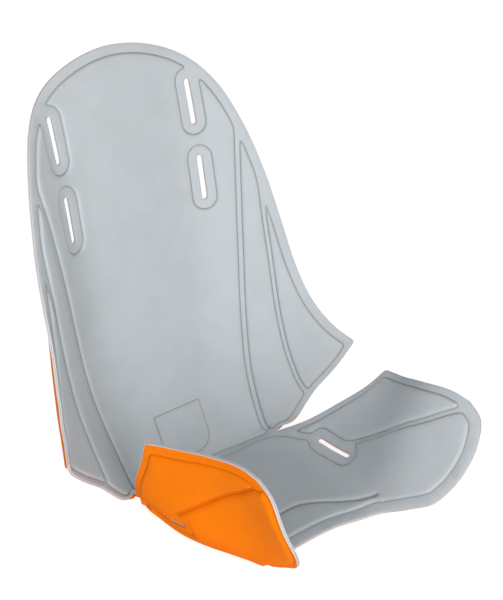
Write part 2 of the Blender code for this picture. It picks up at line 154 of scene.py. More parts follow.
# Further curl of the lower right corner of the back: its angle, where it begins and how wide it
# is across the blank, and the heights over which it grows and fades, each with its length
CORNER_CURL = 10.9
CORNER_CURL_START = 0.140
CORNER_CURL_WIDTH = 0.080
CORNER_CURL_FOOT = (-0.030, 0.060)
CORNER_CURL_TOP = (0.230, 0.140)
# Curl along the left edge of the back: its angle, how far it reaches in from the edge, and the
# heights over which it grows and fades, each with its length
EDGE_CURL = 32.0
EDGE_CURL_REACH = 0.022
EDGE_CURL_FOOT = (0.000, 0.060)
EDGE_CURL_TOP = (0.300, 0.130)
# Further curl of the front of the left seat wing: stations along the blank and their angles
LOBE_CURL_START = 0.1425
LOBE_CURL_WIDTH = 0.0761
LOBE_STATIONS = (-0.300, -0.200, -0.110, -0.060, 0.000)
LOBE_ANGLES = (37.1, -5.4, 1.2, 0.6, 0.0)
# How far in front of the crease the insert's place of rest lies
REST_REACH = 0.075

# Fineness of the visible sheets
OUTLINE_STEP = 0.001
PRESS_LINE_STEP = 0.004
FIELD_STEP = 0.00125
SMALLEST_LOOP = 8
CORNER_SIDES = 12
FIELD_CORNER_SIDES = 24
SECTION_SAMPLES = 24
POINTS_AT_ONCE = 4096
CHORD_ERROR = 0.00006
LONGEST_EDGE = 0.0030
OPEN_SPACING = 0.0060
BOND_SPACING = 0.0100
CLEARANCE_TO_LINES = 0.0022
BOND_CLEARANCE = 0.0035
SLOT_END_SIDES = 10
SPINE_STEP = 0.002
# Where the rings of a pressed shoulder lie, as shares of its width
SHOULDER_RINGS = (0.0, 0.1, 0.3, 0.6, 1.0)
FIELD_RINGS = (0.0, 0.25, 1.0)
# Where the rings of the pinched dip and painted shade at a shoulder's foot lie, as shares of its reach
PINCH_RINGS = (-1.0, -0.4)
# How far a softened edge drops, as a share of its rounding
EDGE_DROP = 0.7
SHARP_EDGE_ANGLE = 50.0
# Colour of the mottling's darker spots, of the painted crease shade at the shoulders' feet and of
# the cut foam's open cells, as shares of the foam's colour
MOTTLE_DEPTH = 0.955
PAINTED_CREASE_SHADE = 0.56
CELL_SHADE = 0.86
ROUGHNESS_SPREAD = 0.06
GREY_GLOSS = 0.25
ORANGE_GLOSS = 0.06
# The studio's soft lights: their azimuths and elevations in degrees, their size, their
# distance and the point they face
SIDE_LIGHT = (-55.0, 12.0)
FRONT_LIGHT = (-18.0, 12.0)
TOP_LIGHT = (10.0, 40.0)
LIGHT_SIZE = 1.4
LIGHT_DISTANCE = 2.5
LIT_POINT = (0.03, 0.05, 0.20)
# How brightly the floor glows for the camera alone, over the light that falls on it
FLOOR_GLOW = 0.72


def ease(t):
    """Smooth step from 0 to 1."""
    t = np.clip(t, 0.0, 1.0)
    return t * t * (3.0 - 2.0 * t)


def through(x, places, values):
    """Smooth curve of one variable through the values at the places."""
    places = np.asarray(places, float)
    values = np.asarray(values, float)
    gaps = np.diff(places)
    slopes = np.diff(values) / gaps
    tangents = np.empty(len(places))
    tangents[0] = slopes[0]
    tangents[-1] = slopes[-1]
    tangents[1:-1] = (slopes[:-1] * gaps[1:] + slopes[1:] * gaps[:-1]) / (gaps[1:] + gaps[:-1])
    x = np.clip(x, places[0], places[-1])
    i = np.clip(np.searchsorted(places, x) - 1, 0, len(gaps) - 1)
    t = (x - places[i]) / gaps[i]
    start = (2 * t**3 - 3 * t**2 + 1) * values[i] + (t**3 - 2 * t**2 + t) * gaps[i] * tangents[i]
    end = (3 * t**2 - 2 * t**3) * values[i + 1] + (t**3 - t**2) * gaps[i] * tangents[i + 1]
    return start + end


def smooth_line(points, step=OUTLINE_STEP):
    """Evenly spaced points on a smooth curve through the given ones."""
    points = np.asarray(points, float)
    lengths = np.hypot(*np.diff(points, axis=0).T)
    along = np.concatenate([[0.0], np.cumsum(lengths)])
    count = max(2, int(round(along[-1] / step)) + 1)
    s = np.linspace(0.0, along[-1], count)
    return np.stack([through(s, along, points[:, 0]), through(s, along, points[:, 1])], axis=1)


def fillet(before, after, radius):
    """Round the corner where two lines meet with an arc of about the radius."""
    gone_before = np.hypot(*(before - before[-1]).T) < radius
    gone_after = np.hypot(*(after - after[0]).T) < radius
    start = before[~gone_before][-1]
    end = after[~gone_after][0]
    t = np.linspace(0.0, 1.0, CORNER_SIDES + 1)[:, None]
    corner = before[-1]
    arc = (1 - t) ** 2 * start + 2 * t * (1 - t) * corner + t**2 * end
    return before[~gone_before][:-1], arc, after[~gone_after][1:]


def edge_lines():
    """The right half of the outline, as the five edges between its corners."""
    head = [(half, BACK_LENGTH - drop) for drop, half in HEAD_PROFILE]
    flank = [(half, height) for height, half in FLANK_PROFILE]
    mirrored = (-head[1][0], head[1][1])
    side = smooth_line([mirrored, *head, *flank, BACK_TIP])
    lower = smooth_line([BACK_TIP, *BACK_LOWER_EDGE, SLIT_END])
    rear = smooth_line([SLIT_END, *SEAT_REAR_EDGE, SEAT_TIP])
    seat_side = smooth_line([SEAT_TIP, *SEAT_SIDE, SEAT_LOBE[0]])
    mirrored_notch = (-FRONT_NOTCH[0], FRONT_NOTCH[1])
    front = smooth_line([*SEAT_LOBE, FRONT_NOTCH, (0.0, -SEAT_LENGTH), mirrored_notch])
    return side[side[:, 0] >= 0.0], lower, rear, seat_side, front[front[:, 0] >= 0.0]


def outline_of(edges):
    """The closed outline of the blank, with its corners rounded."""
    side, lower, rear, seat_side, front = edges
    side, tip_arc, lower = fillet(side, lower, TIP_RADIUS)
    lower, slit_arc, rear = fillet(lower, rear, SLIT_RADIUS)
    rear, seat_arc, seat_side = fillet(rear, seat_side, TIP_RADIUS)
    parts = [side, tip_arc, lower, slit_arc, rear, seat_arc, seat_side, front[1:]]
    right = np.concatenate(parts)
    right[0, 0] = 0.0
    right[-1, 0] = 0.0
    left = right[-2:0:-1] * (-1.0, 1.0)
    return np.concatenate([right, left])


def slots():
    """Each slot by the two ends of its middle line, right ones first."""
    reach = (SLOT_LENGTH - SLOT_WIDTH) / 2
    places = (
        (BACK_SLOT_OFFSET, BACK_LENGTH - UPPER_SLOT_DROP),
        (BACK_SLOT_OFFSET, BACK_LENGTH - LOWER_SLOT_DROP),
        (HIP_SLOT_OFFSET, -HIP_SLOT_REACH),
    )
    right = [np.array(((u, v + reach), (u, v - reach))) for u, v in places]
    return right + [ends * (-1.0, 1.0) for ends in right]


def slot_loop(top, foot):
    """Outline of one slot with round ends."""
    turns = np.linspace(0.0, math.pi, SLOT_END_SIDES + 1)
    arc = np.stack([np.cos(turns), np.sin(turns)], axis=1) * SLOT_WIDTH / 2
    middle = (top + foot) / 2
    return np.concatenate([top + arc, [middle + arc[-1]], foot - arc, [middle + arc[0]]])


def field_outline():
    """Outline of the plain field at the foot of the back: square above, round below."""
    top = FIELD_FOOT + FIELD_HEIGHT
    centre = np.array((FIELD_HALF_WIDTH - FIELD_CORNER_RADIUS, FIELD_FOOT + FIELD_CORNER_RADIUS))
    turns = np.linspace(0.0, -math.pi / 2, FIELD_CORNER_SIDES + 1)
    arc = centre + FIELD_CORNER_RADIUS * np.stack([np.cos(turns), np.sin(turns)], axis=1)
    right = np.concatenate([[(FIELD_HALF_WIDTH, top)], arc])
    return np.concatenate([right, right[::-1] * (-1.0, 1.0)])


def distance_to(points, line):
    """Distance from each point to a line through many points."""
    line = np.asarray(line, float)
    starts = line[:-1]
    runs = np.diff(line, axis=0)
    squares = (runs**2).sum(axis=1)
    nearest = np.empty(len(points))
    for first in range(0, len(points), POINTS_AT_ONCE):
        block = points[first:first + POINTS_AT_ONCE, None, :] - starts[None, :, :]
        t = np.clip((block * runs).sum(axis=2) / squares, 0.0, 1.0)
        away = block - t[:, :, None] * runs
        nearest[first:first + POINTS_AT_ONCE] = np.sqrt((away**2).sum(axis=2).min(axis=1))
    return nearest


def is_inside(points, loop):
    """Whether each point lies inside the closed loop."""
    inside = np.zeros(len(points), bool)
    for a, b in zip(loop, np.roll(loop, -1, axis=0)):
        if a[1] != b[1]:
            spans = (a[1] > points[:, 1]) != (b[1] > points[:, 1])
            crossing = a[0] + (points[:, 1] - a[1]) * (b[0] - a[0]) / (b[1] - a[1])
            inside ^= spans & (points[:, 0] < crossing)
    return inside


# How a sheet is pressed: the rise of its panels and the width of their shoulders, the shares by
# which its grooves and its pinched dip with the painted crease shade differ from the grey sheet's,
# its borders round the seat, and whether it has the lip groove and the plain field
Press = namedtuple("Press", "rise shoulder groove_share pinch seat_borders has_lip_and_field")


def press_lines(press):
    """What the press keeps flat: each line with the distance on both sides that stays flat."""
    every = round(PRESS_LINE_STEP / OUTLINE_STEP)
    side, lower, rear, seat_side, front = (line[::every] for line in edge_lines())
    lobe = front[front[:, 0] > LOBE_START]
    front = front[front[:, 0] <= LOBE_START]
    crease = [(-CREASE_LINE[0][0], CREASE_LINE[0][1]), (0.0, -CREASE_DROP), *CREASE_LINE, SLIT_END]
    lip = [(-LIP_GROOVE[0][0], LIP_GROOVE[0][1]), (0.0, -LIP_GROOVE_REACH), *LIP_GROOVE]
    grooves = [
        (INNER_GROOVE, INNER_GROOVE_WIDTH),
        (OUTER_GROOVE, OUTER_GROOVE_WIDTH),
        (SLIT_GROOVE, SLIT_GROOVE_WIDTH),
        (WING_GROOVE, WING_GROOVE_WIDTH),
        (crease, CREASE_WIDTH),
    ]
    if press.has_lip_and_field:
        grooves.append((lip, LIP_GROOVE_WIDTH))
    borders = [
        [(side, BACK_BORDER)],
        [(lower, SLIT_BORDER)],
        [(rear, SLIT_BORDER)],
        list(zip((seat_side, lobe, front), press.seat_borders)),
    ]
    for line, width in grooves:
        borders.append([(smooth_line(line, PRESS_LINE_STEP), width / 2 * press.groove_share)])
    borders += [[(ends, SLOT_WIDTH / 2 + POCKET_MARGIN)] for ends in slots() if ends[0, 0] > 0.0]
    return borders


def panel_depth(points, outline, press):
    """How far inside a raised panel each point lies, below zero on what stays flat."""
    right = np.abs(points * (1.0, 0.0)) + points * (0.0, 1.0)
    margins = []
    for group in press_lines(press):
        margins.append(np.min([distance_to(right, line) - flat for line, flat in group], axis=0))
    short = np.clip(PANEL_CORNER_RADIUS - np.array(margins), 0.0, None)
    rounded = PANEL_CORNER_RADIUS - np.sqrt((short**2).sum(axis=0))
    depth = np.minimum(np.min(margins, axis=0), rounded)
    return np.where(is_inside(points, outline), depth, -BACK_BORDER)


def field_depth(points):
    """How far inside the plain field each point lies."""
    loop = field_outline()
    away = distance_to(points, np.concatenate([loop, loop[:1]]))
    return np.where(is_inside(points, loop), away, -away)


def level_loops(values, us, vs, level):
    """Closed loops along which the values on a grid equal the level."""
    above = values > level
    mixed = above[:-1, :-1].astype(int) + above[1:, :-1] + above[:-1, 1:] + above[1:, 1:]
    links = {}
    for i, j in np.argwhere((mixed > 0) & (mixed < 4)):
        sides = ((i, j, 1, 0), (i + 1, j, 0, 1), (i, j + 1, 1, 0), (i, j, 0, 1))
        cut = [side for side in sides if above[side[:2]] != above[side[0] + side[2], side[1] + side[3]]]
        for a, b in zip(cut[::2], cut[1::2]):
            links.setdefault(a, []).append(b)
            links.setdefault(b, []).append(a)
    loops = []
    while links:
        key = next(iter(links))
        chain = []
        while key in links:
            chain.append(key)
            ahead = [other for other in links.pop(key) if other in links]
            if ahead:
                key = ahead[0]
        loop = []
        for i, j, across, along in chain:
            here = values[i, j]
            t = (level - here) / (values[i + across, j + along] - here)
            loop.append((us[i] + t * across * (us[1] - us[0]), vs[j] + t * along * (vs[1] - vs[0])))
        loops.append(np.array(loop))
    return loops


def is_short(a, b):
    """Whether a step between two points of the blank is fine enough."""
    return math.hypot(b[0] - a[0], b[1] - a[1]) <= LONGEST_EDGE


def thin_out(line):
    """Fewest points of a line that follow it closely, in short steps, without its last point."""
    if len(line) < 3:
        return line[:-1]
    if np.array_equal(line[0], line[-1]):
        far = int(np.argmax(np.hypot(*(line - line[0]).T)))
    else:
        away = distance_to(line, line[[0, -1]])
        far = int(np.argmax(away))
        if away[far] < CHORD_ERROR:
            if is_short(line[0], line[-1]):
                return line[:1]
            far = len(line) // 2
    return np.concatenate([thin_out(line[:far + 1]), thin_out(line[far:])])


def closed(loop):
    return np.concatenate([loop, loop[:1]])


def relief_loops(outline, press, pinch_reach, field_wall):
    """Rings along the shoulders of the panels and along the wall of the plain field."""
    half = math.ceil(outline[:, 0].max() / FIELD_STEP) + 2
    us = np.arange(-half, half + 1) * FIELD_STEP
    bottom = outline[:, 1].min() - 2 * FIELD_STEP
    top = outline[:, 1].max() + 3 * FIELD_STEP
    vs = np.arange(bottom, top, FIELD_STEP)
    right = us[half:]
    grid = np.stack(np.meshgrid(right, vs, indexing="ij"), axis=-1).reshape(-1, 2)
    loops = []
    pinch_levels = [ring * pinch_reach for ring in PINCH_RINGS]
    panel_levels = pinch_levels + [ring * press.shoulder for ring in SHOULDER_RINGS]
    kinds = [(panel_depth(grid, outline, press), panel_levels)]
    if press.has_lip_and_field:
        kinds.append((field_depth(grid), pinch_levels + [ring * field_wall for ring in FIELD_RINGS]))
    for depth, levels in kinds:
        values = depth.reshape(len(right), len(vs))
        values = np.concatenate([values[:0:-1], values])
        for level in levels:
            loops += level_loops(values, us, vs, level)
    return [thin_out(closed(loop)) for loop in loops if len(loop) > SMALLEST_LOOP]


def inset(loop, distance):
    """The loop moved inwards, or outwards where the distance is below zero."""
    ahead = np.roll(loop, -1, axis=0) - np.roll(loop, 1, axis=0)
    ahead /= np.hypot(*ahead.T)[:, None]
    inwards = np.stack([-ahead[:, 1], ahead[:, 0]], axis=1)
    if not is_inside(loop[:1] + inwards[:1] * 1e-4, loop)[0]:
        inwards = -inwards
    return loop + inwards * distance


def inner_points(outline, lines, spacing, clearance):
    """Rows of points over the blank, clear of the lines."""
    rows = np.arange(outline[:, 1].min(), outline[:, 1].max(), spacing)
    count = math.ceil(outline[:, 0].max() / spacing)
    points = []
    for number, v in enumerate(rows):
        shift = 0.5 * (number % 2)
        points += [((k + shift) * spacing, v) for k in range(-count - 1, count + 1)]
    points = np.array(points)
    points = points[is_inside(points, outline)]
    marks = np.concatenate([*lines, *[(line + np.roll(line, -1, axis=0)) / 2 for line in lines]])
    tree = KDTree(len(marks))
    for number, (u, v) in enumerate(marks):
        tree.insert((u, v, 0.0), number)
    tree.balance()
    clear = np.array([tree.find((u, v, 0.0))[2] for u, v in points])
    return points[clear > clearance]


def triangulate(loops, loose):
    """Triangles over the blank that keep the loops as edges, and each loop's point numbers."""
    points = np.concatenate([*loops, loose])
    edges = []
    starts = np.cumsum([0] + [len(loop) for loop in loops])
    for start, end in zip(starts[:-1], starts[1:]):
        edges += [(k, k + 1 if k + 1 < end else start) for k in range(start, end)]
    flat = [(float(u), float(v)) for u, v in points]
    found, _, faces, sources, _, _ = delaunay_2d_cdt(flat, edges, [], 0, 1e-7)
    place = np.zeros(len(points), int)
    where = np.array([tuple(p) for p in found])
    for number, source in enumerate(sources):
        if source:
            where[number] = points[source[0]]
            place[source] = number
    rings = [place[start:end] for start, end in zip(starts[:-1], starts[1:])][:1 + len(slots())]
    faces = np.array(faces)
    laid = np.array([tuple(p) for p in found])
    middles = laid[faces].mean(axis=1)
    kept = is_inside(middles, laid[rings[0]])
    for hole in rings[1:]:
        kept &= ~is_inside(middles, laid[hole])
    return where, faces[kept], rings


def slope_at(v, away):
    """Slope of the blank along its length at a distance from the centre line, in radians."""
    upright = 90.0 - through(v, LEAN_STATIONS, LEAN_ANGLES)
    middle = FOLD_MIDDLE - FOLD_DIP * ease((away - DIP_START) / (SLIT_END[0] - DIP_START))
    folded = np.clip((v - middle + FOLD_REACH) / (2 * FOLD_REACH), 0.0, 1.0)
    folded = folded * ((v > SLIT_END[1]) | (away < SLIT_END[0]))
    turn = ease((away - TURN_START) / TURN_WIDTH) * (v > SLIT_END[1])
    return np.radians(upright * ease(folded + turn))


def spine():
    """The bent centre line: v, then y from the place of rest and z from the seat."""
    count = math.ceil((BACK_LENGTH + SEAT_LENGTH) / SPINE_STEP)
    v = np.arange(-count, count + 1) * SPINE_STEP
    slope = slope_at(v, 0.0)
    steps = SPINE_STEP * np.stack([np.cos(slope), np.sin(slope)])
    path = np.cumsum(steps, axis=1) - steps / 2
    return v, path[0] - path[0, count] + REST_REACH, path[1] - path[1, 0]


def grow_and_fade(v, foot, top):
    """Share of a curl at each height: it grows from the foot and ends at the top."""
    return ease((v - foot[0]) / foot[1]) * ease((top[0] - v) / top[1])


def back_edge():
    """Heights up the side of the back, and the blank's half width at each."""
    side = [(BACK_TIP[1], BACK_TIP[0]), *FLANK_PROFILE[::-1]]
    side += [(BACK_LENGTH - drop, half) for drop, half in HEAD_PROFILE[::-1]]
    return np.array(side).T


def mould_point(u, v, line):
    """Points of the bent middle surface, before it is lifted onto the floor."""
    sides = ((LEFT_FLATS, RIGHT_FLATS), (LEFT_BENDS, RIGHT_BENDS), (LEFT_ANGLES, RIGHT_ANGLES))
    flat, bend, angle = (
        np.where(u < 0.0, through(v, MOULD_STATIONS, left), through(v, MOULD_STATIONS, right))
        for left, right in sides
    )
    corner_curl = np.where(u < 0.0, 0.0, CORNER_CURL)
    corner_curl = corner_curl * grow_and_fade(v, CORNER_CURL_FOOT, CORNER_CURL_TOP)
    edge_curl = np.where(u < 0.0, EDGE_CURL, 0.0) * grow_and_fade(v, EDGE_CURL_FOOT, EDGE_CURL_TOP)
    lobe_curl = np.where(u < 0.0, through(v, LOBE_STATIONS, LOBE_ANGLES), 0.0)
    edge = np.interp(v, *back_edge())
    nodes, weights = np.polynomial.legendre.leggauss(SECTION_SAMPLES)
    away = np.abs(u)[:, None] * (nodes + 1.0) / 2
    weights = np.abs(u)[:, None] * weights / 2
    rise = angle[:, None] * ease((away - flat[:, None]) / bend[:, None])
    rise = rise + corner_curl[:, None] * ease((away - CORNER_CURL_START) / CORNER_CURL_WIDTH)
    rise = rise + edge_curl[:, None] * ease((away - edge[:, None]) / EDGE_CURL_REACH + 1.0)
    rise = rise + lobe_curl[:, None] * ease((away - LOBE_CURL_START) / LOBE_CURL_WIDTH)
    rise = np.radians(rise)
    slope = slope_at(v[:, None], away)
    line_v, line_y, line_z = line
    x = np.sign(u) * (np.cos(rise) * weights).sum(axis=1)
    y = np.interp(v, line_v, line_y) - (np.sin(rise) * np.sin(slope) * weights).sum(axis=1)
    z = np.interp(v, line_v, line_z) + (np.sin(rise) * np.cos(slope) * weights).sum(axis=1)
    return np.stack([x, y, z], axis=1)


def mould(points):
    """Where each point of the blank lies in space, and which way its grey side faces."""
    line = spine()
    u, v = points.T
    probe = SPINE_STEP / 2
    across = mould_point(u + probe, v, line) - mould_point(u - probe, v, line)
    along = mould_point(u, v + probe, line) - mould_point(u, v - probe, line)
    facing = np.cross(across, along)
    facing /= np.linalg.norm(facing, axis=1)[:, None]
    lift = BOND_GAP / 2 + SHEET_THICKNESS + ORANGE_RISE
    return mould_point(u, v, line) + (0.0, 0.0, lift), facing


def raise_off(points, height):
    """Points of space at a height over the blank's middle surface. Each slot is cut straight
    through, along the axis that the blank faces most at the slot."""
    middle, facing = mould(points)
    for ends in slots():
        rim = distance_to(points, ends) < SLOT_WIDTH / 2 + BOND_GAP
        _, across = mould(ends.mean(axis=0, keepdims=True))
        way = np.eye(3)[np.argmax(np.abs(across[0]))]
        facing[rim] = way / (facing[rim] @ way)[:, None]
    return middle + height[:, None] * facing


def rounded(depth, width):
    """A shoulder's rise from 0 to 1: steep at its foot and level at its top."""
    t = np.clip(depth / width, 0.0, 1.0)
    return t * (2.0 - t)


@lru_cache(maxsize=2)
def pressed_blank(press, pinch_reach, field_wall, rounding):
    """The flat blank of one sheet: its two meshes and the depths of its relief."""
    outline = outline_of(edge_lines())
    rim = thin_out(closed(outline))
    holes = [slot_loop(top, foot) for top, foot in slots()]
    softened = [inset(rim, rounding)] + [inset(hole, -rounding) for hole in holes]
    steps = relief_loops(rim, press, pinch_reach, field_wall)
    cut = [rim, *holes]
    lines = cut + softened + steps
    bond = triangulate(cut, inner_points(rim, cut, BOND_SPACING, BOND_CLEARANCE))
    outer = triangulate(lines, inner_points(rim, lines, OPEN_SPACING, CLEARANCE_TO_LINES))
    points = outer[0]
    return outer, bond, panel_depth(points, rim, press), field_depth(points)


def build_sheet(name, side, press, skin, cut_foam):
    """One foam sheet as a closed mesh: pressed face, softened edges, cut rim and bonded face."""
    shape = bpy.context.scene.foam_insert_shape
    outer, bond, panels, field = pressed_blank(
        press, shape.pinch_reach, shape.field_wall, shape.edge_rounding)
    points, faces, rings = outer
    bond_points, bond_faces, bond_rings = bond
    # The foot mask sinks the pinched dip and also darkens the colour there as painted crease shade
    foot = 1.0 - np.clip(np.abs(panels) / shape.pinch_reach, 0.0, 1.0)
    heights = BOND_GAP / 2 + SHEET_THICKNESS + press.rise * rounded(panels, press.shoulder)
    if press.has_lip_and_field:
        heights -= shape.field_depth * rounded(field, shape.field_wall)
        foot = np.maximum(foot, 1.0 - np.clip(np.abs(field) / shape.pinch_reach, 0.0, 1.0))
    foot = foot * press.pinch
    heights -= shape.pinch_depth * foot
    for ring in rings:
        heights[ring] -= EDGE_DROP * shape.edge_rounding
    is_grey = side > 0.0
    # The orange skin wraps into the left hip slot, the last of the rings. At its other rims
    # the orange sheet's softened edge is as pale as the cut foam.
    pale = rings if is_grey else rings[:-1]
    pale_edge = np.isin(faces, np.concatenate(pale)).any(axis=1) & (not is_grey)
    pressed = raise_off(points, side * heights)
    bonded = raise_off(bond_points, np.full(len(bond_points), side * BOND_GAP / 2))
    polygons = faces.tolist() + (bond_faces + len(pressed)).tolist()
    materials = pale_edge.astype(int).tolist() + [0] * len(bond_faces)
    for ring, low in zip(rings, bond_rings):
        low = low + len(pressed)
        polygons += np.stack([ring, np.roll(ring, -1), np.roll(low, -1), low], axis=1).tolist()
    mesh = bpy.data.meshes.new(name)
    mesh.from_pydata(np.concatenate([pressed, bonded]).tolist(), [], polygons)
    materials += [1] * sum(len(ring) for ring in pale)
    materials += [0] * (len(polygons) - len(materials))
    mesh.polygons.foreach_set("material_index", materials)
    # Mask of the painted crease shade, read by the skin's colour
    painted_crease_mask = mesh.attributes.new("painted_crease_mask", "FLOAT", "POINT")
    painted_crease_mask.data.foreach_set("value", np.concatenate([foot, np.zeros(len(bonded))]))
    solid = bmesh.new()
    solid.from_mesh(mesh)
    bmesh.ops.delete(solid, geom=[v for v in solid.verts if not v.link_faces], context="VERTS")
    bmesh.ops.recalc_face_normals(solid, faces=solid.faces)
    solid.to_mesh(mesh)
    solid.free()
    mesh.shade_smooth()
    mesh.set_sharp_from_angle(angle=math.radians(SHARP_EDGE_ANGLE))
    mesh.materials.append(skin)
    mesh.materials.append(cut_foam)
    sheet = bpy.data.objects.new(name, mesh)
    bpy.context.scene.collection.objects.link(sheet)
    return sheet


def node(tree, kind, place, **values):
    """A shader node at its place in the tree, with its properties and sockets set."""
    made = tree.nodes.new(kind)
    made.location = place
    for key, value in values.items():
        if key in made.inputs:
            made.inputs[key].default_value = value
        else:
            setattr(made, key, value)
    return made


def foam_material(name, colour, finish, gloss):
    """Closed-cell foam with a pressed skin: faint mottling, painted shade at the shoulders' feet, a
    fine grain.
    """
    material = bpy.data.materials.new(name)
    material.use_nodes = True
    tree = material.node_tree
    shader = tree.nodes["Principled BSDF"]
    place = node(tree, "ShaderNodeTexCoord", (-1100, 0))
    mottle = node(tree, "ShaderNodeTexNoise", (-850, 250), Scale=28.0, Detail=4.0, Roughness=0.6)
    cells = node(tree, "ShaderNodeTexVoronoi", (-850, -50), Scale=1500.0)
    grit = node(tree, "ShaderNodeTexNoise", (-850, -350), Scale=620.0, Detail=3.0, Roughness=0.7)
    for texture in (mottle, cells, grit):
        tree.links.new(place.outputs["Object"], texture.inputs["Vector"])
    tint = node(tree, "ShaderNodeMix", (-400, 300), data_type="RGBA")
    tint.inputs["A"].default_value = (*[channel * MOTTLE_DEPTH for channel in colour[:3]], 1.0)
    tint.inputs["B"].default_value = (*colour[:3], 1.0)
    ramp = node(tree, "ShaderNodeMapRange", (-620, 250))
    ramp.inputs["From Min"].default_value = 0.35
    ramp.inputs["From Max"].default_value = 0.60
    tree.links.new(mottle.outputs["Fac"], ramp.inputs["Value"])
    tree.links.new(ramp.outputs["Result"], tint.inputs["Factor"])
    # Painted shade: the base colour darkens along the feet of the shoulders, where the creases fall in
    # shade
    painted_crease_mask = node(tree, "ShaderNodeAttribute", (-620, 550), attribute_name="painted_crease_mask")
    line = node(tree, "ShaderNodeMix", (-200, 400), data_type="RGBA")
    line.inputs["B"].default_value = (*[channel * PAINTED_CREASE_SHADE for channel in colour[:3]], 1.0)
    tree.links.new(painted_crease_mask.outputs["Fac"], line.inputs["Factor"])
    tree.links.new(tint.outputs["Result"], line.inputs["A"])
    tree.links.new(line.outputs["Result"], shader.inputs["Base Color"])
    wear = node(tree, "ShaderNodeMapRange", (-620, -300))
    wear.inputs["To Min"].default_value = finish.roughness - ROUGHNESS_SPREAD
    wear.inputs["To Max"].default_value = finish.roughness + ROUGHNESS_SPREAD
    tree.links.new(grit.outputs["Fac"], wear.inputs["Value"])
    tree.links.new(wear.outputs["Result"], shader.inputs["Roughness"])
    pores = node(tree, "ShaderNodeBump", (-400, -50), Strength=finish.grain, Distance=0.00012)
    tree.links.new(cells.outputs["Distance"], pores.inputs["Height"])
    skin = node(tree, "ShaderNodeBump", (-200, -150), Strength=finish.grain * 0.6, Distance=0.0003)
    tree.links.new(grit.outputs["Fac"], skin.inputs["Height"])
    tree.links.new(pores.outputs["Normal"], skin.inputs["Normal"])
    tree.links.new(skin.outputs["Normal"], shader.inputs["Normal"])
    shader.inputs["Specular IOR Level"].default_value = gloss
    return material


def cut_foam_material(colour):
    """The raw cut rim of the foam: paler than the skin, with open cells."""
    material = bpy.data.materials.get("cut_foam")
    if material:
        return material
    material = bpy.data.materials.new("cut_foam")
    material.use_nodes = True
    tree = material.node_tree
    shader = tree.nodes["Principled BSDF"]
    place = node(tree, "ShaderNodeTexCoord", (-900, 0))
    cells = node(tree, "ShaderNodeTexVoronoi", (-700, 0), Scale=2200.0)
    tree.links.new(place.outputs["Object"], cells.inputs["Vector"])
    shade = node(tree, "ShaderNodeMapRange", (-500, 150))
    shade.inputs["From Max"].default_value = 0.6
    shade.inputs["To Min"].default_value = 0.0
    tree.links.new(cells.outputs["Distance"], shade.inputs["Value"])
    tint = node(tree, "ShaderNodeMix", (-300, 200), data_type="RGBA")
    tint.inputs["A"].default_value = (*[channel * CELL_SHADE for channel in colour[:3]], 1.0)
    tint.inputs["B"].default_value = (*colour[:3], 1.0)
    tree.links.new(shade.outputs["Result"], tint.inputs["Factor"])
    tree.links.new(tint.outputs["Result"], shader.inputs["Base Color"])
    pores = node(tree, "ShaderNodeBump", (-300, -150), Strength=0.5, Distance=0.0002)
    tree.links.new(cells.outputs["Distance"], pores.inputs["Height"])
    tree.links.new(pores.outputs["Normal"], shader.inputs["Normal"])
    shader.inputs["Roughness"].default_value = 0.85
    return material


class FoamInsertShape(bpy.types.PropertyGroup):
    grey_rise: FloatProperty(
        name="Grey Panel Rise", description="How far the grey panels stand above their border",
        default=0.0027, min=0.0, max=0.006, unit="LENGTH")
    grey_shoulder: FloatProperty(
        name="Grey Shoulder", description="Width of the rounded shoulder along each grey panel",
        default=0.0032, min=0.001, max=0.006, unit="LENGTH")
    orange_rise: FloatProperty(
        name="Orange Panel Rise", description="How far the orange panels stand above their border",
        default=0.0040, min=0.0, max=0.004, unit="LENGTH")
    orange_shoulder: FloatProperty(
        name="Orange Shoulder", description="Width of the softer shoulder along each orange panel",
        default=0.0065, min=0.001, max=0.012, unit="LENGTH")
    pinch_depth: FloatProperty(
        name="Pinch Depth", description="How deep the pressed line at each shoulder's foot lies",
        default=0.0003, min=0.0, max=0.001, unit="LENGTH")
    pinch_reach: FloatProperty(
        name="Pinch Reach", description="How far the pressed line at a shoulder's foot reaches",
        default=0.0008, min=0.0003, max=0.002, unit="LENGTH")
    field_depth: FloatProperty(
        name="Field Depth", description="How deep the plain field at the foot of the back lies",
        default=0.0015, min=0.0, max=0.002, unit="LENGTH")
    field_wall: FloatProperty(
        name="Field Wall", description="Width of the rounded wall around the plain field",
        default=0.0012, min=0.0005, max=0.003, unit="LENGTH")
    edge_rounding: FloatProperty(
        name="Edge Rounding", description="How far the cut edges are softened",
        default=0.0005, min=0.0001, max=0.001, unit="LENGTH")


class FoamInsertFinish(bpy.types.PropertyGroup):
    grey: FloatVectorProperty(
        name="Grey", description="Colour of the child's side", subtype="COLOR", size=3,
        min=0.0, max=1.0, default=(0.545, 0.580, 0.605))
    orange: FloatVectorProperty(
        name="Orange", description="Colour of the shell's side", subtype="COLOR", size=3,
        min=0.0, max=1.0, default=(0.98, 0.225, 0.002))
    cut_edge: FloatVectorProperty(
        name="Cut Edge", description="Colour of the cut foam at the rim", subtype="COLOR", size=3,
        min=0.0, max=1.0, default=(0.66, 0.68, 0.69))
    roughness: FloatProperty(
        name="Roughness", description="Roughness of the foam's skin", default=0.62, min=0.2, max=0.9)
    grain: FloatProperty(
        name="Grain", description="Strength of the foam's fine grain", default=0.35, min=0.0, max=1.0)


